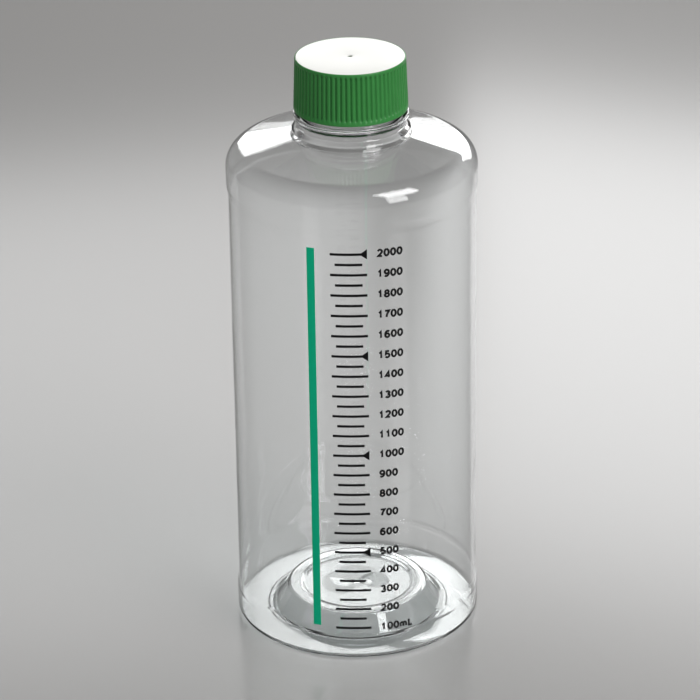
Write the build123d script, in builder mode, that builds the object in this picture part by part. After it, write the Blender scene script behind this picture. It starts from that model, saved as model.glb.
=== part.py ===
"""A 2 litre cell culture roller bottle with a ribbed, vented screw cap.

The origin is on the floor under the middle of the base, +Z runs up the bottle's axis,
and the printed scale faces -Y. All sizes are in millimetres.
"""

import os
from math import radians, tan

from build123d import *

# body
body_radius = 57.15  # outside of the straight wall
wall = 0.85
shoulder_height = 243.3  # floor to the foot of the neck
shoulder_slope = 13.5  # degrees, rise of the shoulder towards the neck
shoulder_round = 10.0
band_relief = 0.8  # how far the two roller bands stand out of the wall
base_band_height = 13.0
shoulder_band_height = 6.0  # straight stretch below the rounded shoulder
band_blend = 4.0  # height over which a band runs into the wall
base_corner = 2.5

# pushed-up base
base_wall = 1.2
contact_ring_width = 12.0
contact_relief = 0.7  # how far the floor inside the contact ring is raised
push_up_height = 11.2  # floor to the top of the push-up's rim
push_up_top_radius = 33.0
push_up_foot_radius = 39.5
push_up_dip = 0.9  # how far the middle lies below the rim
rim_width = 6.0
rim_round = 3.0
gate_radius = 2.0
gate_height = 0.8

# neck, from its foot up
bore_radius = 20.0
finish_wall = 1.9
bead_relief = 4.7  # how far the bead stands out of the finish
waist_depth = 1.5  # how far the waist lies inside the bead
ring_relief = 0.75  # how far the ring stands out beyond the bead
ring_height = 2.7
waist_height = 2.2
bead_height = 2.0
ring_slope_height = 1.9  # height of each slope between ring, waist and bead
neck_wall = 2.0
finish_height = 22.2  # top of the bead to the lip

# screw thread, outside on the bottle and inside in the cap
thread_pitch = 4.23
thread_depth = 1.3
thread_turns = 1.75
thread_root_width = 2.0
thread_crest_width = 1.0
thread_start = 5.0  # top of the bead to the first thread, in the middle of its tooth
thread_sink = 0.4  # how deep a tooth runs into the wall it grows from
thread_radial_gap = 0.4
thread_axial_gap = 0.3

# cap
skirt_height = 21.9  # skirt below the underside of the cap's top plate
skirt_wall = 2.6  # at the skirt's bottom edge
skirt_draft = 2.1  # degrees
plate_thickness = 1.8
top_round = 0.4
rib_count = 70
groove_width = 1.0
groove_depth = 0.45
rib_top_margin = 1.4
rib_bottom_margin = 2.4

# disc, membrane and liner
disc_thickness = 0.8
disc_rim = 0.55  # width of the green edge left round the disc
disc_gap = 0.05
vent_radius = 1.15
membrane_radius = 9.0
membrane_thickness = 0.3
liner_thickness = 1.2
liner_width = 4.0
liner_gap = 0.3

# sizes that follow from the ones above
inner_radius = body_radius - wall
finish_radius = bore_radius + finish_wall
bead_radius = finish_radius + bead_relief
waist_radius = bead_radius - waist_depth
ring_radius = bead_radius + ring_relief
band_radius = body_radius + band_relief
slope = tan(radians(shoulder_slope))
ring_top = shoulder_height + ring_height
waist_bottom = ring_top + ring_slope_height
waist_top = waist_bottom + waist_height
bead_bottom = waist_top + ring_slope_height
bead_top = bead_bottom + bead_height
lip_height = bead_top + finish_height
cap_bore = finish_radius + thread_depth + thread_radial_gap
plate_bottom = lip_height + liner_thickness
plate_top = plate_bottom + plate_thickness
cap_top = plate_top + disc_thickness
skirt_bottom = plate_bottom - skirt_height
skirt_radius = cap_bore + skirt_wall
cap_top_radius = skirt_radius - (cap_top - skirt_bottom) * tan(radians(skirt_draft))
disc_radius = cap_top_radius - disc_rim


def tube_wall(points, radii):
    """Revolve a closed outline, given from its first to its last point on the axis or bore."""
    with BuildPart() as wall_part:
        with BuildSketch(Plane.XZ):
            with BuildLine():
                outline = FilletPolyline(*points, radius=radii)
                Line(outline @ 1, outline @ 0)
            make_face()
        revolve(axis=Axis.Z)
    return wall_part.part


def helical_tooth(root_radius, outwards, bottom, turns):
    """Sweep one trapezoid tooth along a helix that rises from the given height."""
    side = 1 if outwards else -1
    foot = root_radius - side * thread_sink
    crest = root_radius + side * thread_depth
    spread = thread_sink * (thread_root_width - thread_crest_width) / thread_depth
    foot_half = (thread_root_width + spread) / 2
    crest_half = thread_crest_width / 2
    with BuildPart() as tooth:
        with BuildLine():
            path = Helix(pitch=thread_pitch, height=thread_pitch * turns, radius=root_radius,
                         center=(0, 0, bottom))
        with BuildSketch(Plane.XZ):
            with BuildLine():
                Polyline((foot, bottom - foot_half), (crest, bottom - crest_half),
                         (crest, bottom + crest_half), (foot, bottom + foot_half), close=True)
            make_face()
        sweep(path=path, is_frenet=True)
    return tooth.part


# the bottle: one wall from the middle of the base up to the lip
underside = push_up_height - base_wall
push_up_inset = base_wall / 2
contact_outer = band_radius - base_corner
contact_inner = contact_outer - contact_ring_width
band_top = shoulder_height - (band_radius - ring_radius) * slope
band_bottom = band_top - shoulder_round - shoulder_band_height
plateau = push_up_height - push_up_dip
outside = [
    ((0, plateau - base_wall), 0),
    ((push_up_top_radius - rim_width - base_wall, plateau - base_wall), 0.8),
    ((push_up_top_radius - rim_width + 1, underside), 0.8),
    ((push_up_top_radius - push_up_inset, underside), rim_round - base_wall),
    ((push_up_foot_radius - push_up_inset, contact_relief), 1.2),
    ((contact_inner - contact_relief, contact_relief), 0.5),
    ((contact_inner, 0), 0.5),
    ((band_radius, 0), base_corner),
    ((band_radius, base_band_height), 6.0),
    ((body_radius, base_band_height + band_blend), 6.0),
    ((body_radius, band_bottom - band_blend), 6.0),
    ((band_radius, band_bottom), 6.0),
    ((band_radius, band_top), shoulder_round),
    ((ring_radius, shoulder_height), 0.8),
    ((ring_radius, ring_top), 1.1),
    ((waist_radius, waist_bottom), 0.8),
    ((waist_radius, waist_top), 0.7),
    ((bead_radius, bead_bottom), 0.8),
    ((bead_radius, bead_top), 0.6),
    ((finish_radius, bead_top), 0.6),
    ((finish_radius, lip_height), 0.5),
]
corner_inside = base_corner - wall
neck_inside = waist_radius - neck_wall
foot_inside = ring_radius - neck_wall
inside = [
    ((bore_radius, lip_height), 0.5),
    ((bore_radius, bead_top), 1.5),
    ((neck_inside, bead_bottom), 1.5),
    ((neck_inside, waist_bottom), 1.5),
    ((foot_inside, shoulder_height - wall * 1.5), 1.5),
    ((band_radius - wall, band_top - wall), shoulder_round - wall),
    ((band_radius - wall, band_bottom), 6.0),
    ((inner_radius, band_bottom - band_blend), 6.0),
    ((inner_radius, base_band_height + band_blend), 6.0),
    ((band_radius - wall, base_band_height), 6.0),
    ((band_radius - wall, base_wall), corner_inside),
    ((contact_inner - 2, base_wall), 2.0),
    ((push_up_foot_radius, contact_relief + base_wall), 1.2),
    ((push_up_top_radius, push_up_height), rim_round),
    ((push_up_top_radius - rim_width, push_up_height), 2.0),
    ((push_up_top_radius - rim_width - 1.5, plateau), 1.5),
    ((gate_radius + gate_height, plateau), 0.6),
    ((gate_radius, plateau + gate_height), 0.4),
    ((0, plateau + gate_height), 0),
]
wall_outline = outside + inside
bottle_wall = tube_wall([point for point, radius in wall_outline],
                        [radius for point, radius in wall_outline[1:-1]])
bottle_thread = helical_tooth(finish_radius, True, bead_top + thread_start, thread_turns)
with BuildPart() as bottle:
    add(bottle_wall)
    add(bottle_thread)

# the cap's shell: skirt, top plate with a recess, ribs and thread
cap_outline = [
    ((cap_bore, skirt_bottom), 0.3),
    ((skirt_radius, skirt_bottom), 0.3),
    ((cap_top_radius, cap_top), top_round),
    ((disc_radius + disc_gap, cap_top), 0),
    ((disc_radius + disc_gap, plate_top), 0),
    ((vent_radius, plate_top), 0),
    ((vent_radius, plate_bottom), 0),
    ((cap_bore, plate_bottom), 0),
]
rib_bottom = skirt_bottom + rib_bottom_margin
rib_top = cap_top - rib_top_margin
draft = tan(radians(skirt_draft))
groove_foot = skirt_radius - rib_bottom_margin * draft - groove_depth
groove_head = cap_top_radius + rib_top_margin * draft - groove_depth
with BuildPart() as groove:
    with BuildSketch(Plane.XZ):
        with BuildLine():
            Polyline((groove_foot + 2 * groove_depth, rib_bottom - groove_depth),
                     (groove_foot, rib_bottom + groove_depth),
                     (groove_head, rib_top - groove_depth),
                     (groove_head + 2 * groove_depth, rib_top + groove_depth), close=True)
        make_face()
    extrude(amount=groove_width / 2, both=True)

tooth_gap = (thread_root_width + thread_crest_width) / 2 + thread_axial_gap
cap_thread = helical_tooth(cap_bore, False, bead_top + thread_start - tooth_gap, thread_turns)
with BuildPart() as cap_shell:
    with BuildSketch(Plane.XZ):
        with BuildLine():
            FilletPolyline(*[point for point, radius in cap_outline], close=True,
                           radius=[radius for point, radius in cap_outline])
        make_face()
    revolve(axis=Axis.Z)
    with PolarLocations(0, rib_count):
        add(groove.part, mode=Mode.SUBTRACT)
    add(cap_thread)

# the white disc in the recess, open in the middle
with BuildPart() as cap_top_disc:
    with BuildSketch(Plane.XY.offset(plate_top)):
        Circle(disc_radius)
        Circle(vent_radius, mode=Mode.SUBTRACT)
    extrude(amount=disc_thickness)

# the filter disc that closes the vent hole from below
with BuildPart() as vent_membrane:
    with BuildSketch(Plane.XY.offset(plate_bottom - membrane_thickness)):
        Circle(membrane_radius)
    extrude(amount=membrane_thickness)

# the soft ring between the lip and the top plate
with BuildPart() as sealing_liner:
    with BuildSketch(Plane.XY.offset(lip_height)):
        Circle(cap_bore - liner_gap)
        Circle(cap_bore - liner_gap - liner_width, mode=Mode.SUBTRACT)
    extrude(amount=liner_thickness)

os.makedirs("parts", exist_ok=True)
pieces = {
    "bottle": bottle,
    "cap_shell": cap_shell,
    "cap_top_disc": cap_top_disc,
    "vent_membrane": vent_membrane,
    "sealing_liner": sealing_liner,
}
for name, piece in pieces.items():
    piece.part.label = name
    export_step(piece.part, f"parts/{name}.step")
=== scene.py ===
import bpy
from math import ceil, cos, pi, radians, sin, tan
from mathutils import Euler, Matrix, Vector


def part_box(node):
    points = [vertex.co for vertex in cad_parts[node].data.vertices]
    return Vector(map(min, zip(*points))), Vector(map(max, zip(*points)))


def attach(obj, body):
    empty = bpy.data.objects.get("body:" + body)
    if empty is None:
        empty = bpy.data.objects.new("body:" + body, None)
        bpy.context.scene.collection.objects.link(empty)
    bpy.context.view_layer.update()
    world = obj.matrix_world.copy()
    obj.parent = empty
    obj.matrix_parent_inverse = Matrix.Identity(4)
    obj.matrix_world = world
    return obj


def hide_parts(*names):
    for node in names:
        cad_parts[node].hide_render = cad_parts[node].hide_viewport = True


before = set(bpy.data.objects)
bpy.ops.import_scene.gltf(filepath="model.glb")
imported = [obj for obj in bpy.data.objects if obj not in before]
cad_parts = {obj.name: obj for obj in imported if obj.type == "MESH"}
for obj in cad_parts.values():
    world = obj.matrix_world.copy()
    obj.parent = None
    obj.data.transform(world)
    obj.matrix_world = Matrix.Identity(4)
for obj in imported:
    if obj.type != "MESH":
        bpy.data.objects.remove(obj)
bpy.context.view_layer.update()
print("frame loaded")

mm = 0.001  # outlines are written in millimetres and made in metres


def linearColour(hexCode, alpha=1.0):
    channels = [int(hexCode[i:i + 2], 16) / 255 for i in (1, 3, 5)]
    return tuple(c / 12.92 if c <= 0.04045 else ((c + 0.055) / 1.055) ** 2.4 for c in channels) + (alpha,)


def addNode(tree, kind, settings=None, inputs=None, links=None):
    node = tree.nodes.new(kind)
    for name, value in (settings or {}).items():
        setattr(node, name, value)
    for name, value in (inputs or {}).items():
        node.inputs[name].default_value = value
    for name, source in (links or {}).items():
        tree.links.new(source, node.inputs[name])
    return node


def addBump(tree, height, strength, depth):
    return addNode(tree, "ShaderNodeBump", inputs={"Strength": strength, "Distance": depth},
                   links={"Height": height})


def newMaterial(name):
    material = bpy.data.materials.new(name)
    material.use_nodes = True
    material.node_tree.nodes.clear()
    return material, material.node_tree


def finishMaterial(tree, shader):
    addNode(tree, "ShaderNodeOutputMaterial", links={"Surface": shader})


def newMesh(name, vertices, faces, smooth=True):
    mesh = bpy.data.meshes.new(name)
    mesh.from_pydata(vertices, [], faces)
    mesh.validate()
    mesh.polygons.foreach_set("use_smooth", [smooth] * len(mesh.polygons))
    mesh.update()
    piece = bpy.data.objects.new(name, mesh)
    bpy.context.scene.collection.objects.link(piece)
    return piece


def roundOutline(corners, step=12):
    # corners are (radius, height, rounding); each rounding becomes an arc with a point every few degrees
    points = []
    for index, (r, z, rounding) in enumerate(corners):
        here = Vector((r, z))
        before = Vector(corners[index - 1][:2]) - here
        after = Vector(corners[(index + 1) % len(corners)][:2]) - here
        if rounding == 0:
            points.append((r, z))
            continue
        half = before.angle(after) / 2
        reach = rounding / tan(half)
        middle = here + (before.normalized() + after.normalized()).normalized() * rounding / sin(half)
        start = here + before.normalized() * reach - middle
        turn = start.angle_signed(here + after.normalized() * reach - middle)
        count = max(2, ceil(abs(turn) / radians(step)))
        for part in range(count + 1):
            arm = start.copy()
            arm.rotate(Matrix.Rotation(-turn * part / count, 2))
            points.append(tuple(middle + arm))
    return points


def splitRun(points, low, high, step):
    # adds rows on the straight stretch between two heights, so that it can carry a thread or ribs
    fine = []
    for index, (r, z) in enumerate(points):
        fine.append((r, z))
        nextR, nextZ = points[(index + 1) % len(points)]
        if min(z, nextZ) >= low - 0.01 and max(z, nextZ) <= high + 0.01 and abs(nextZ - z) > step:
            count = ceil(abs(nextZ - z) / step)
            fine += [(r + (nextR - r) * i / count, z + (nextZ - z) * i / count) for i in range(1, count)]
    return fine


def latheSolid(name, outline, segments, radiusAt=None):
    # turns an outline into a closed skin; points on the axis become one vertex
    vertices, rows = [], []
    for row, (r, z) in enumerate(outline):
        if r < 1e-6:
            rows.append([len(vertices)] * segments)
            vertices.append((0, 0, z * mm))
            continue
        ring = []
        for segment in range(segments):
            angle = 2 * pi * segment / segments
            radius = radiusAt(row, r, z, angle) if radiusAt else r
            ring.append(len(vertices))
            vertices.append((radius * cos(angle) * mm, radius * sin(angle) * mm, z * mm))
        rows.append(ring)
    faces = []
    pairs = list(zip(rows, rows[1:]))
    if outline[0][0] > 1e-6:
        pairs.append((rows[-1], rows[0]))
    for lower, upper in pairs:
        for segment in range(segments):
            following = (segment + 1) % segments
            corners = [lower[segment], lower[following], upper[following], upper[segment]]
            corners = list(dict.fromkeys(corners))
            if len(corners) > 2:
                faces.append(corners)
    return newMesh(name, vertices, faces)


def toothHeight(angle, z, thread):
    # height of a helical tooth over its wall, 0 away from it; it fades in and out over a short arc
    turn = angle / (2 * pi)
    lead = (z - thread["start"]) / thread["pitch"]
    best = 0.0
    for whole in range(-1, ceil(thread["turns"]) + 1):
        along = whole + turn
        if 0 <= along <= thread["turns"]:
            away = abs(lead - along) * thread["pitch"]
            flank = (thread["rootWidth"] - thread["crestWidth"]) / 2
            rise = min(1, max(0, (thread["rootWidth"] / 2 - away) / flank))
            fade = min(1, along / thread["fade"], (thread["turns"] - along) / thread["fade"])
            best = max(best, thread["depth"] * rise * fade)
    return best


# the camera stands in front of the printed scale and looks down on the shoulder
cameraSetup = {"distance": 1450.9, "height": 808.5, "pitch": 24.95, "yaw": 0.08, "roll": -0.845,
               "lens": 175.2}


def makeCamera(setup):
    data = bpy.data.cameras.new("camera")
    data.lens = setup["lens"]
    data.sensor_width = 36
    data.clip_start, data.clip_end = 0.05, 50
    camera = bpy.data.objects.new("camera", data)
    aim = Euler((radians(90 - setup["pitch"]), 0, radians(setup["yaw"]))).to_matrix()
    turned = (aim @ Matrix.Rotation(radians(setup["roll"]), 3, "Z")).to_4x4()
    camera.matrix_world = Matrix.Translation((0, -setup["distance"] * mm, setup["height"] * mm)) @ turned
    bpy.context.scene.collection.objects.link(camera)
    bpy.context.scene.camera = camera


makeCamera(cameraSetup)
print("camera placed")

# clear polyester, blown in a polished mould: glossy, colourless, with a faint waviness from the blowing
bottleFinish = {"tint": "#FCFDFD", "lampTint": "#E9ECEC", "ior": 1.57, "roughness": 0.012,
                "waveMm": 22.0, "waveStrength": 0.018, "waveDepth": 0.004}


def clearPolyester(values):
    material, tree = newMaterial("clearBlownPolyester")
    place = addNode(tree, "ShaderNodeTexCoord")
    waves = addNode(tree, "ShaderNodeTexNoise",
                    inputs={"Scale": 1 / (values["waveMm"] * mm), "Detail": 1.0, "Roughness": 0.4},
                    links={"Vector": place.outputs["Object"]})
    bump = addBump(tree, waves.outputs["Fac"], values["waveStrength"], values["waveDepth"])
    glass = addNode(tree, "ShaderNodeBsdfPrincipled",
                    inputs={"Base Color": linearColour(values["tint"]), "IOR": values["ior"],
                            "Roughness": values["roughness"], "Transmission Weight": 1.0},
                    links={"Normal": bump.outputs["Normal"]})
    # lamps shine through the thin wall, so it throws only a light shadow
    through = addNode(tree, "ShaderNodeBsdfTransparent", inputs={"Color": linearColour(values["lampTint"])})
    rays = addNode(tree, "ShaderNodeLightPath")
    mix = addNode(tree, "ShaderNodeMixShader")
    tree.links.new(rays.outputs["Is Shadow Ray"], mix.inputs[0])
    tree.links.new(glass.outputs[0], mix.inputs[1])
    tree.links.new(through.outputs[0], mix.inputs[2])
    finishMaterial(tree, mix.outputs[0])
    return material


# the bottle: one blown wall, from under the middle of the base, round the lip and back down inside
bottleSizes = {
    "bodyRadius": 57.15, "wall": 0.85, "bandRelief": 0.8, "baseBandHeight": 13.0, "bandBlend": 4.0,
    "shoulderHeight": 243.3, "shoulderSlope": 13.5, "shoulderRound": 10.0, "shoulderBandHeight": 6.0,
    "baseCorner": 2.5, "baseWall": 1.2, "contactRingWidth": 12.0, "contactRelief": 0.7,
    "pushUpHeight": 11.2, "pushUpTop": 33.0, "pushUpFoot": 39.5, "dip": 0.9, "rimWidth": 6.0, "rimRound": 3.0,
    "boreRadius": 20.0, "finishWall": 1.9, "beadRelief": 4.7, "waistDepth": 1.5, "ringRelief": 0.75,
    "ringHeight": 2.7, "waistHeight": 2.2, "beadHeight": 2.0, "slopeHeight": 1.9, "neckWall": 2.0,
    "gateRadius": 2.0, "gateHeight": 0.8, "bandRound": 6.0, "neckRound": 1.5, "segments": 216,
}
threadSizes = {"pitch": 4.23, "depth": 1.3, "turns": 1.75, "rootWidth": 2.0, "crestWidth": 1.0,
               "fade": 0.06, "rowStep": 0.3, "aboveBead": 5.0, "axialGap": 0.3}


def makeBottle(sizes, thread):
    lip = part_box("bottle")[1][2] / mm
    wall, baseWall = sizes["wall"], sizes["baseWall"]
    body = sizes["bodyRadius"]
    band = body + sizes["bandRelief"]
    finish = sizes["boreRadius"] + sizes["finishWall"]
    bead = finish + sizes["beadRelief"]
    waist = bead - sizes["waistDepth"]
    ring = bead + sizes["ringRelief"]
    foot = sizes["shoulderHeight"]
    ringTop = foot + sizes["ringHeight"]
    waistLow = ringTop + sizes["slopeHeight"]
    waistTop = waistLow + sizes["waistHeight"]
    beadLow = waistTop + sizes["slopeHeight"]
    beadTop = beadLow + sizes["beadHeight"]
    corner = foot - (band - ring) * tan(radians(sizes["shoulderSlope"]))
    bandLow = corner - sizes["shoulderRound"] - sizes["shoulderBandHeight"]
    blend = sizes["bandBlend"]
    bandTop = sizes["baseBandHeight"]
    contactOuter = band - sizes["baseCorner"]
    contactInner = contactOuter - sizes["contactRingWidth"]
    relief = sizes["contactRelief"]
    rim, top, pushFoot = sizes["pushUpHeight"], sizes["pushUpTop"], sizes["pushUpFoot"]
    plateau = rim - sizes["dip"]
    rimIn = top - sizes["rimWidth"]
    bandRound, neckRound = sizes["bandRound"], sizes["neckRound"]
    neckWall = sizes["neckWall"]
    gate, gateTop = sizes["gateRadius"], plateau + sizes["gateHeight"]
    outside = [
        (0, plateau - baseWall, 0), (rimIn - baseWall, plateau - baseWall, 0.8),
        (rimIn + 1, rim - baseWall, 0.8), (top - baseWall / 2, rim - baseWall, sizes["rimRound"] - baseWall),
        (pushFoot - baseWall / 2, relief, 1.2), (contactInner - relief, relief, 0.5),
        (contactInner, 0, 0.5), (band, 0, sizes["baseCorner"]),
        (band, bandTop, bandRound), (body, bandTop + blend, bandRound),
        (body, bandLow - blend, bandRound), (band, bandLow, bandRound),
        (band, corner, sizes["shoulderRound"]), (ring, foot, 0.8), (ring, ringTop, 1.1),
        (waist, waistLow, 0.8), (waist, waistTop, 0.7), (bead, beadLow, 0.8), (bead, beadTop, 0.6),
        (finish, beadTop, 0.6), (finish, lip, 0.5),
    ]
    inside = [
        (sizes["boreRadius"], lip, 0.5), (sizes["boreRadius"], beadTop, neckRound),
        (waist - neckWall, beadLow, neckRound), (waist - neckWall, waistLow, neckRound),
        (ring - neckWall, foot - 1.5 * wall, neckRound),
        (band - wall, corner - wall, sizes["shoulderRound"] - wall), (band - wall, bandLow, bandRound),
        (body - wall, bandLow - blend, bandRound), (body - wall, bandTop + blend, bandRound),
        (band - wall, bandTop, bandRound), (band - wall, baseWall, sizes["baseCorner"] - wall),
        (contactInner - 2, baseWall, 2), (pushFoot, relief + baseWall, 1.2),
        (top, rim, sizes["rimRound"]), (rimIn, rim, 2), (rimIn - 1.5, plateau, 1.5),
        (gate + sizes["gateHeight"], plateau, 0.6), (gate, gateTop, 0.4), (0, gateTop, 0),
    ]
    outline = roundOutline(outside + inside, 10)
    outline = splitRun(outline, beadTop + 0.5, lip, thread["rowStep"])
    tooth = dict(thread, start=beadTop + thread["aboveBead"])

    def wallRadius(row, r, z, angle):
        if abs(r - finish) < 0.01 and z > beadTop + 1:
            return r + toothHeight(angle, z, tooth)
        return r

    piece = latheSolid("bottleBlown", outline, sizes["segments"], wallRadius)
    piece.data.materials.append(clearPolyester(bottleFinish))
    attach(piece, "bottle")
    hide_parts("bottle")
    return {"body": body, "beadTop": beadTop}


bottle = makeBottle(bottleSizes, threadSizes)
print("bottle blown")

# polypropylene with green masterbatch, injection moulded: even colour, soft sheen, very fine mould texture
capFinish = {"colour": "#36873F", "shade": "#307C39", "roughness": 0.36, "ior": 1.49, "sheenMm": 6.0,
             "grainMm": 0.35, "grainStrength": 0.08, "grainDepth": 0.0001}


def greenPolypropylene(values):
    material, tree = newMaterial("greenMouldedPolypropylene")
    place = addNode(tree, "ShaderNodeTexCoord")
    flow = addNode(tree, "ShaderNodeTexNoise", inputs={"Scale": 1 / (values["sheenMm"] * mm), "Detail": 3.0},
                   links={"Vector": place.outputs["Object"]})
    colour = addNode(tree, "ShaderNodeMix", settings={"data_type": "RGBA"},
                     links={"Factor": flow.outputs["Fac"]})
    colour.inputs["A"].default_value = linearColour(values["colour"])
    colour.inputs["B"].default_value = linearColour(values["shade"])
    # the mould's texture is about 0.1 mm; it is drawn coarser so that it shows
    grain = addNode(tree, "ShaderNodeTexNoise", inputs={"Scale": 1 / (values["grainMm"] * mm), "Detail": 2.0},
                    links={"Vector": place.outputs["Object"]})
    bump = addBump(tree, grain.outputs["Fac"], values["grainStrength"], values["grainDepth"])
    shader = addNode(tree, "ShaderNodeBsdfPrincipled",
                     inputs={"Roughness": values["roughness"], "IOR": values["ior"]},
                     links={"Base Color": colour.outputs["Result"], "Normal": bump.outputs["Normal"]})
    finishMaterial(tree, shader.outputs[0])
    return material


capSizes = {
    "bore": 23.6, "skirtWall": 2.6, "draft": 2.1, "plate": 1.8, "topRound": 0.5,
    "discThickness": 0.8, "discRim": 0.55, "discGap": 0.05, "ventRadius": 1.15,
    "ribs": 70, "grooveDepth": 0.75, "ribTopMargin": 2.0, "ribBottomMargin": 2.6, "ribFade": 0.6,
    "samplesPerRib": 8,
}


def makeCapShell(sizes, thread, threadStart):
    low, high = (corner[2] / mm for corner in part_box("cap_shell"))
    outer = sizes["bore"] + sizes["skirtWall"]
    draft = tan(radians(sizes["draft"]))
    crown = outer - (high - low) * draft
    plateTop = high - sizes["discThickness"]
    plateLow = plateTop - sizes["plate"]
    recess = crown - sizes["discRim"] + sizes["discGap"]
    vent = sizes["ventRadius"]
    corners = [
        (sizes["bore"], low, 0.3), (outer, low, 0.35), (crown, high, sizes["topRound"]),
        (recess, high, 0.1), (recess, plateTop, 0), (vent, plateTop, 0.1), (vent, plateLow, 0.1),
        (sizes["bore"], plateLow, 0.5),
    ]
    outline = roundOutline(corners, 15)
    ribLow, ribHigh = low + sizes["ribBottomMargin"], high - sizes["ribTopMargin"]
    fade = sizes["ribFade"]
    marks = [ribLow - fade, ribLow - fade / 2, ribLow, ribLow + 1, ribHigh - 1, ribHigh,
             ribHigh + fade / 2, ribHigh + fade]
    start = max(i for i, (r, z) in enumerate(outline) if r > recess and z < low + 1)
    outline[start + 1:start + 1] = [(outer - (z - low) * draft, z) for z in marks]
    ribEnd = start + len(marks)
    outline = outline[:ribEnd + 1] + splitRun(outline[ribEnd + 1:], low + 0.4, plateLow, 0.4)
    tooth = dict(thread, start=threadStart)
    grooveShape = [0, 0, 0.1, 0.95, 1, 0.95, 0.1, 0]

    def skirtRadius(row, r, z, angle):
        if start < row <= ribEnd:
            share = min(1, (z - ribLow + fade) / fade, (ribHigh + fade - z) / fade)
            sample = round(angle / (2 * pi) * sizes["ribs"] * sizes["samplesPerRib"])
            depth = grooveShape[sample % sizes["samplesPerRib"]]
            return r - sizes["grooveDepth"] * max(0, share) * depth
        if row > ribEnd and abs(r - sizes["bore"]) < 0.01 and low + 0.5 < z < plateLow - 0.5:
            return r - toothHeight(angle, z, tooth)
        return r

    piece = latheSolid("capShellRibbed", outline, sizes["ribs"] * sizes["samplesPerRib"], skirtRadius)
    piece.data.materials.append(greenPolypropylene(capFinish))
    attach(piece, "cap")
    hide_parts("cap_shell")
    return {"discRadius": recess - sizes["discGap"], "discTop": high, "discLow": plateTop}


toothGap = (threadSizes["rootWidth"] + threadSizes["crestWidth"]) / 2 + threadSizes["axialGap"]
cap = makeCapShell(capSizes, threadSizes, bottle["beadTop"] + threadSizes["aboveBead"] - toothGap)
print("cap shell moulded")

# white polyethylene, die cut from smooth sheet: bright, silky, almost without texture
discFinish = {"colour": "#E4E4E0", "roughness": 0.32, "ior": 1.51, "cloudMm": 9.0,
              "roughnessSpread": 0.05, "bumpStrength": 0.03, "bumpDepth": 0.0003}


def whitePolyethylene(values):
    material, tree = newMaterial("whiteSheetPolyethylene")
    place = addNode(tree, "ShaderNodeTexCoord")
    cloud = addNode(tree, "ShaderNodeTexNoise", inputs={"Scale": 1 / (values["cloudMm"] * mm), "Detail": 2.0},
                    links={"Vector": place.outputs["Object"]})
    roughness = addNode(tree, "ShaderNodeMapRange",
                        inputs={"To Min": values["roughness"] - values["roughnessSpread"],
                                "To Max": values["roughness"] + values["roughnessSpread"]},
                        links={"Value": cloud.outputs["Fac"]})
    bump = addBump(tree, cloud.outputs["Fac"], values["bumpStrength"], values["bumpDepth"])
    shader = addNode(tree, "ShaderNodeBsdfPrincipled",
                     inputs={"Base Color": linearColour(values["colour"]), "IOR": values["ior"]},
                     links={"Roughness": roughness.outputs[0], "Normal": bump.outputs["Normal"]})
    finishMaterial(tree, shader.outputs[0])
    return material


discSizes = {"edgeRound": 0.18, "ventRound": 0.15, "ringInner": 1.7, "ringOuter": 2.1, "ringRise": 0.08}


def makeCapDisc(sizes, values):
    r, high, low = cap["discRadius"], cap["discTop"], cap["discLow"]
    vent = capSizes["ventRadius"]
    rise = high - sizes["ringRise"]
    corners = [
        (vent, low, 0), (r, low, 0), (r, high, sizes["edgeRound"]),
        (sizes["ringOuter"], high, 0.05), (sizes["ringInner"] + 0.2, rise, 0.05),
        (vent, rise, sizes["ventRound"]),
    ]
    piece = latheSolid("capDiscWhite", roundOutline(corners, 20), 160)
    piece.data.materials.append(whitePolyethylene(values))
    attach(piece, "cap")
    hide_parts("cap_top_disc")


makeCapDisc(discSizes, discFinish)
print("cap disc set in")

# expanded fluoropolymer film: matt white, fibrous at a scale far below a tenth of a millimetre
membraneFinish = {"colour": "#E9E9E4", "roughness": 0.85, "fibreMm": 0.4,
                  "bumpStrength": 0.2, "bumpDepth": 0.0001}


def ventFilm(values):
    material, tree = newMaterial("mattVentFilm")
    place = addNode(tree, "ShaderNodeTexCoord")
    fibre = addNode(tree, "ShaderNodeTexNoise", inputs={"Scale": 1 / (values["fibreMm"] * mm), "Detail": 4.0},
                    links={"Vector": place.outputs["Object"]})
    bump = addBump(tree, fibre.outputs["Fac"], values["bumpStrength"], values["bumpDepth"])
    shader = addNode(tree, "ShaderNodeBsdfPrincipled",
                     inputs={"Base Color": linearColour(values["colour"]), "Roughness": values["roughness"]},
                     links={"Normal": bump.outputs["Normal"]})
    finishMaterial(tree, shader.outputs[0])
    return material


# silicone rubber liner: soft, matt, off-white, with a faint skin from the mould
linerFinish = {"colour": "#E2E1DB", "roughness": 0.6, "skinMm": 0.5,
               "bumpStrength": 0.15, "bumpDepth": 0.0001}


def siliconeLiner(values):
    material, tree = newMaterial("offWhiteSilicone")
    place = addNode(tree, "ShaderNodeTexCoord")
    cells = addNode(tree, "ShaderNodeTexVoronoi", inputs={"Scale": 1 / (values["skinMm"] * mm)},
                    links={"Vector": place.outputs["Object"]})
    bump = addBump(tree, cells.outputs["Distance"], values["bumpStrength"], values["bumpDepth"])
    shader = addNode(tree, "ShaderNodeBsdfPrincipled",
                     inputs={"Base Color": linearColour(values["colour"]), "Roughness": values["roughness"]},
                     links={"Normal": bump.outputs["Normal"]})
    finishMaterial(tree, shader.outputs[0])
    return material


def dressNode(node, material):
    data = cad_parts[node]
    for place in data.material_slots:
        place.material = material


dressNode("vent_membrane", ventFilm(membraneFinish))
dressNode("sealing_liner", siliconeLiner(linerFinish))
print("membrane and liner finished")

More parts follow.
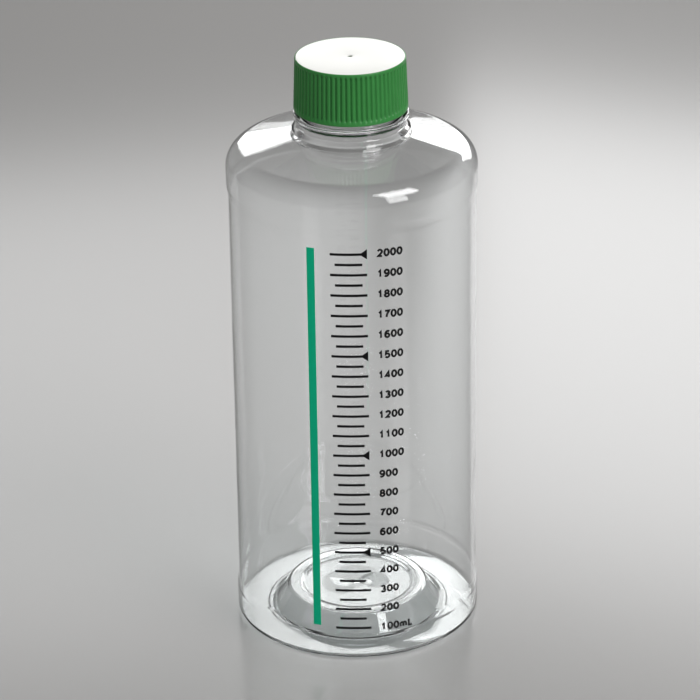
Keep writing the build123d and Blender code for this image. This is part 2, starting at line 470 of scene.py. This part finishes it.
# screen-printing ink on treated plastic: opaque, satin, with a slightly uneven film
blackInkFinish = {"name": "blackScreenInk", "colour": "#0B0B0C", "roughness": 0.42, "filmMm": 1.6,
                  "specular": 0.2, "toneSpread": 0.08}
greenInkFinish = {"name": "greenScreenInk", "colour": "#00B285", "roughness": 0.4, "filmMm": 3.0,
                  "specular": 0.2, "toneSpread": 0.08}


def screenInk(values):
    material, tree = newMaterial(values["name"])
    place = addNode(tree, "ShaderNodeTexCoord")
    film = addNode(tree, "ShaderNodeTexNoise", inputs={"Scale": 1 / (values["filmMm"] * mm), "Detail": 3.0},
                   links={"Vector": place.outputs["Object"]})
    tone = addNode(tree, "ShaderNodeMix", settings={"data_type": "RGBA"},
                   links={"Factor": film.outputs["Fac"]})
    colour = linearColour(values["colour"])
    for side, share in (("A", 1 - values["toneSpread"]), ("B", 1 + values["toneSpread"])):
        tone.inputs[side].default_value = tuple(share * c for c in colour[:3]) + (1,)
    shader = addNode(tree, "ShaderNodeBsdfPrincipled",
                     inputs={"Roughness": values["roughness"], "Specular IOR Level": values["specular"]},
                     links={"Base Color": tone.outputs["Result"]})
    finishMaterial(tree, shader.outputs[0])
    return material


printSizes = {
    "lift": 0.03, "film": 0.05, "firstMark": 16.2, "markStep": 10.034, "hundreds": 20,
    "markMiddle": -2.1, "longMark": 16.7, "shortMark": 12.4, "markHeight": 1.2,
    "triangleDeep": 3.4, "triangleHigh": 4.9, "triangleLift": 0.005, "digitHeight": 3.65, "digitsLeft": 10.9,
    "digitPitch": 3.05, "digitsRise": 0.15, "penWidth": 0.98, "wideLetter": 1.35, "overlapLift": 0.004,
    "stripeMiddle": -19.5, "stripeWidth": 3.7, "stripeLow": 16.6, "stripeHigh": 209.2,
}


def wrapOn(radius, across, height, angle):
    # a distance across the print turns into an angle round the bottle, measured from the front
    around = radians(angle) + across / bottle["body"]
    return (radius * sin(around) * mm, -radius * cos(around) * mm, height * mm)


def inkPatch(vertices, faces, outline, angle, sizes):
    # one flat shape of ink as a thin closed film that follows the wall
    inner = bottle["body"] + sizes["lift"]
    outer = inner + sizes["film"]
    first, count = len(vertices), len(outline)
    for radius in (inner, outer):
        vertices += [wrapOn(radius, x, z, angle) for x, z in outline]
    for index in range(count):
        following = (index + 1) % count
        faces.append((first + index, first + following,
                      first + count + following, first + count + index))
    half = count // 2
    for index in range(half - 1):
        a, b, c, d = index, index + 1, count - 2 - index, count - 1 - index
        faces.append((first + d, first + c, first + b, first + a))
        faces.append((first + count + a, first + count + b, first + count + c, first + count + d))


def stripOutline(left, right, low, high, step=1.4):
    count = max(1, ceil((right - left) / step))
    across = [left + (right - left) * i / count for i in range(count + 1)]
    return [(x, low) for x in across] + [(x, high) for x in reversed(across)]


def printMarks(sizes):
    vertices, faces = [], []
    thick = sizes["markHeight"] / 2
    longHalf = sizes["longMark"] / 2
    for half in range(2 * sizes["hundreds"] - 1):
        z = sizes["firstMark"] + sizes["markStep"] * half / 2
        isLong = half % 2 == 0
        right = longHalf if isLong else longHalf - (sizes["longMark"] - sizes["shortMark"]) / 2
        outline = stripOutline(-right, right, z - thick, z + thick)
        inkPatch(vertices, faces, outline, sizes["markMiddle"], sizes)
        if isLong and (half // 2 + 1) % 5 == 0:
            tip, tall = longHalf - sizes["triangleDeep"], sizes["triangleHigh"] / 2
            outline = [(tip, z - 0.05), (longHalf, z - tall), (longHalf, z + tall), (tip, z + 0.05)]
            layer = dict(sizes, lift=sizes["lift"] + sizes["triangleLift"])
            inkPatch(vertices, faces, outline, sizes["markMiddle"], layer)
    return newMesh("scaleMarks", vertices, faces, smooth=False)


def arcPath(x, y, rx, ry, start, end, count=9):
    turns = [radians(start + (end - start) * i / count) for i in range(count + 1)]
    return [(x + rx * cos(a), y + ry * sin(a)) for a in turns]


def digitStrokes():
    # each sign is one or two pen strokes in a box 1 high; a digit is 0.68 wide
    ring = arcPath(0.34, 0.5, 0.27, 0.42, 90, 450, 20)
    return {
        "0": [ring],
        "1": [[(0.12, 0.72), (0.24, 0.77), (0.36, 0.92), (0.36, 0.08)]],
        "2": [arcPath(0.33, 0.67, 0.25, 0.25, 165, -35) + [(0.30, 0.26), (0.09, 0.08), (0.60, 0.08)]],
        "3": [arcPath(0.32, 0.71, 0.22, 0.21, 160, -90) + arcPath(0.32, 0.29, 0.26, 0.21, 90, -160)],
        "4": [[(0.64, 0.29), (0.06, 0.29), (0.46, 0.92), (0.46, 0.08)]],
        "5": [[(0.56, 0.92), (0.17, 0.92), (0.12, 0.52)] + arcPath(0.32, 0.34, 0.26, 0.26, 130, -150)],
        "6": [arcPath(0.34, 0.33, 0.25, 0.25, 165, -195, 16) + arcPath(0.40, 0.45, 0.33, 0.47, 170, 55, 7)],
        "7": [[(0.08, 0.92), (0.60, 0.92), (0.36, 0.52), (0.26, 0.08)]],
        "8": [arcPath(0.34, 0.71, 0.21, 0.21, -90, 270, 16), arcPath(0.34, 0.29, 0.26, 0.22, 90, 450, 16)],
        "9": [arcPath(0.34, 0.67, 0.25, 0.25, -15, 345, 16) + arcPath(0.28, 0.55, 0.33, 0.47, -10, -125, 7)],
        "m": [[(0.08, 0.08), (0.08, 0.66)], arcPath(0.27, 0.44, 0.19, 0.22, 170, 0, 6) + [(0.46, 0.08)],
              arcPath(0.65, 0.44, 0.19, 0.22, 180, 0, 6) + [(0.84, 0.08)]],
        "L": [[(0.10, 0.92), (0.10, 0.08), (0.56, 0.08)]],
    }


def penOutline(path, width):
    # the outline of one stroke: the path moved to both sides, with mitred corners
    left, right = [], []
    for index, (x, y) in enumerate(path):
        here = Vector((x, y))
        before = here - Vector(path[index - 1]) if index else None
        after = Vector(path[index + 1]) - here if index < len(path) - 1 else None
        first = (before or after).normalized()
        second = (after or before).normalized()
        along = (first + second).normalized()
        reach = width / 2 / max(0.5, along.dot(first))
        side = Vector((-along.y, along.x)) * reach
        left.append(tuple(here + side))
        right.append(tuple(here - side))
    return right + left[::-1]


def printDigits(sizes):
    # plain bold numerals beside every second mark, bent round the wall
    vertices, faces = [], []
    strokes = digitStrokes()
    height = sizes["digitHeight"]
    for hundred in range(1, sizes["hundreds"] + 1):
        words = str(hundred * 100) + ("mL" if hundred == 1 else "")
        z = sizes["firstMark"] + sizes["markStep"] * (hundred - 1) + sizes["digitsRise"]
        across = 0.0
        for letter in words:
            for order, path in enumerate(strokes[letter]):
                path = [(across + x * height, z + (y - 0.5) * height) for x, y in path]
                layer = dict(sizes, lift=sizes["lift"] + sizes["overlapLift"] * order)
                inkPatch(vertices, faces, penOutline(path, sizes["penWidth"]), sizes["digitsLeft"], layer)
            across += sizes["digitPitch"] * (sizes["wideLetter"] if letter == "m" else 1)
    return newMesh("scaleNumerals", vertices, faces, smooth=False)


def printStripe(sizes):
    vertices, faces = [], []
    half = sizes["stripeWidth"] / 2
    outline = stripOutline(-half, half, sizes["stripeLow"], sizes["stripeHigh"], 0.4)
    inkPatch(vertices, faces, outline, sizes["stripeMiddle"], sizes)
    return newMesh("scaleStripe", vertices, faces, smooth=False)


blackInk, greenInk = screenInk(blackInkFinish), screenInk(greenInkFinish)
for printed, ink in ((printMarks(printSizes), blackInk), (printDigits(printSizes), blackInk),
                     (printStripe(printSizes), greenInk)):
    printed.data.materials.append(ink)
    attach(printed, "bottle")
print("scale printed")

# a smooth laminate table top that runs up into a plain backdrop
studioSizes = {"near": -2.2, "bend": 1.6, "side": 3.0, "bendRadius": 0.6, "top": 2.2, "belowBottle": 0.0002}
studioFinish = {"colour": "#8F8E8D", "roughness": 0.2}


def makeFloor(sizes, values):
    profile = [(sizes["near"], 0)] + [
        (sizes["bend"] + sizes["bendRadius"] * sin(a), sizes["bendRadius"] * (1 - cos(a)))
        for a in (radians(10 * i) for i in range(10))] + [(sizes["bend"] + sizes["bendRadius"], sizes["top"])]
    vertices = [(x, y, z - sizes["belowBottle"]) for x in (-sizes["side"], sizes["side"]) for y, z in profile]
    count = len(profile)
    faces = [(i, count + i, count + i + 1, i + 1) for i in range(count - 1)]
    piece = newMesh("studioFloor", vertices, faces)
    material, tree = newMaterial("paleLaminate")
    shader = addNode(tree, "ShaderNodeBsdfPrincipled",
                     inputs={"Base Color": linearColour(values["colour"]), "Roughness": values["roughness"]})
    finishMaterial(tree, shader.outputs[0])
    piece.data.materials.append(material)


makeFloor(studioSizes, studioFinish)

# soft boxes: a bright and a weaker one behind, one overhead in front, and a small one at the front right
lampSetup = {
    "backRight": {"at": (0.55, 1.45, 0.7), "aim": (0, 0, 0.2), "size": (1.0, 0.5), "watts": 8.0},
    "backLeft": {"at": (-0.22, 1.45, 0.7), "aim": (0, 0, 0.2), "size": (0.5, 0.5), "watts": 2.5},
    "overhead": {"at": (0.95, -0.75, 1.5), "aim": (0, 0, 0.15), "size": (0.9, 0.8), "watts": 16},
    "frontRight": {"at": (1.0, -1.15, 0.75), "aim": (0, 0, 0.18), "size": (0.5, 0.7), "watts": 5},
}


def makeLamps(setup):
    for name, values in setup.items():
        data = bpy.data.lights.new(name, "AREA")
        data.shape = "RECTANGLE"
        data.size, data.size_y = values["size"]
        data.energy = values["watts"]
        lamp = bpy.data.objects.new(name, data)
        lamp.location = values["at"]
        lamp.rotation_euler = (Vector(values["aim"]) - lamp.location).to_track_quat("-Z", "Y").to_euler()
        bpy.context.scene.collection.objects.link(lamp)


makeLamps(lampSetup)

skySetup = {"pale": "#C9C9C8", "room": "#3C3C40", "paleStrength": 1.0, "roomStrength": 1.0}


def makeSky(setup):
    world = bpy.data.worlds.new("studioRoom")
    bpy.context.scene.world = world
    world.use_nodes = True
    tree = world.node_tree
    tree.nodes.clear()
    rays = addNode(tree, "ShaderNodeLightPath")
    pale = addNode(tree, "ShaderNodeBackground", inputs={"Color": linearColour(setup["pale"]),
                                                         "Strength": setup["paleStrength"]})
    room = addNode(tree, "ShaderNodeBackground", inputs={"Color": linearColour(setup["room"]),
                                                         "Strength": setup["roomStrength"]})
    mix = addNode(tree, "ShaderNodeMixShader")
    sharp = addNode(tree, "ShaderNodeMath", settings={"operation": "MAXIMUM"})
    tree.links.new(rays.outputs["Is Glossy Ray"], sharp.inputs[0])
    tree.links.new(rays.outputs["Is Transmission Ray"], sharp.inputs[1])
    tree.links.new(sharp.outputs[0], mix.inputs[0])
    tree.links.new(pale.outputs[0], mix.inputs[1])
    tree.links.new(room.outputs[0], mix.inputs[2])
    addNode(tree, "ShaderNodeOutputWorld", links={"Surface": mix.outputs[0]})


makeSky(skySetup)
bpy.context.scene.view_settings.view_transform = "Standard"
print("studio lit")
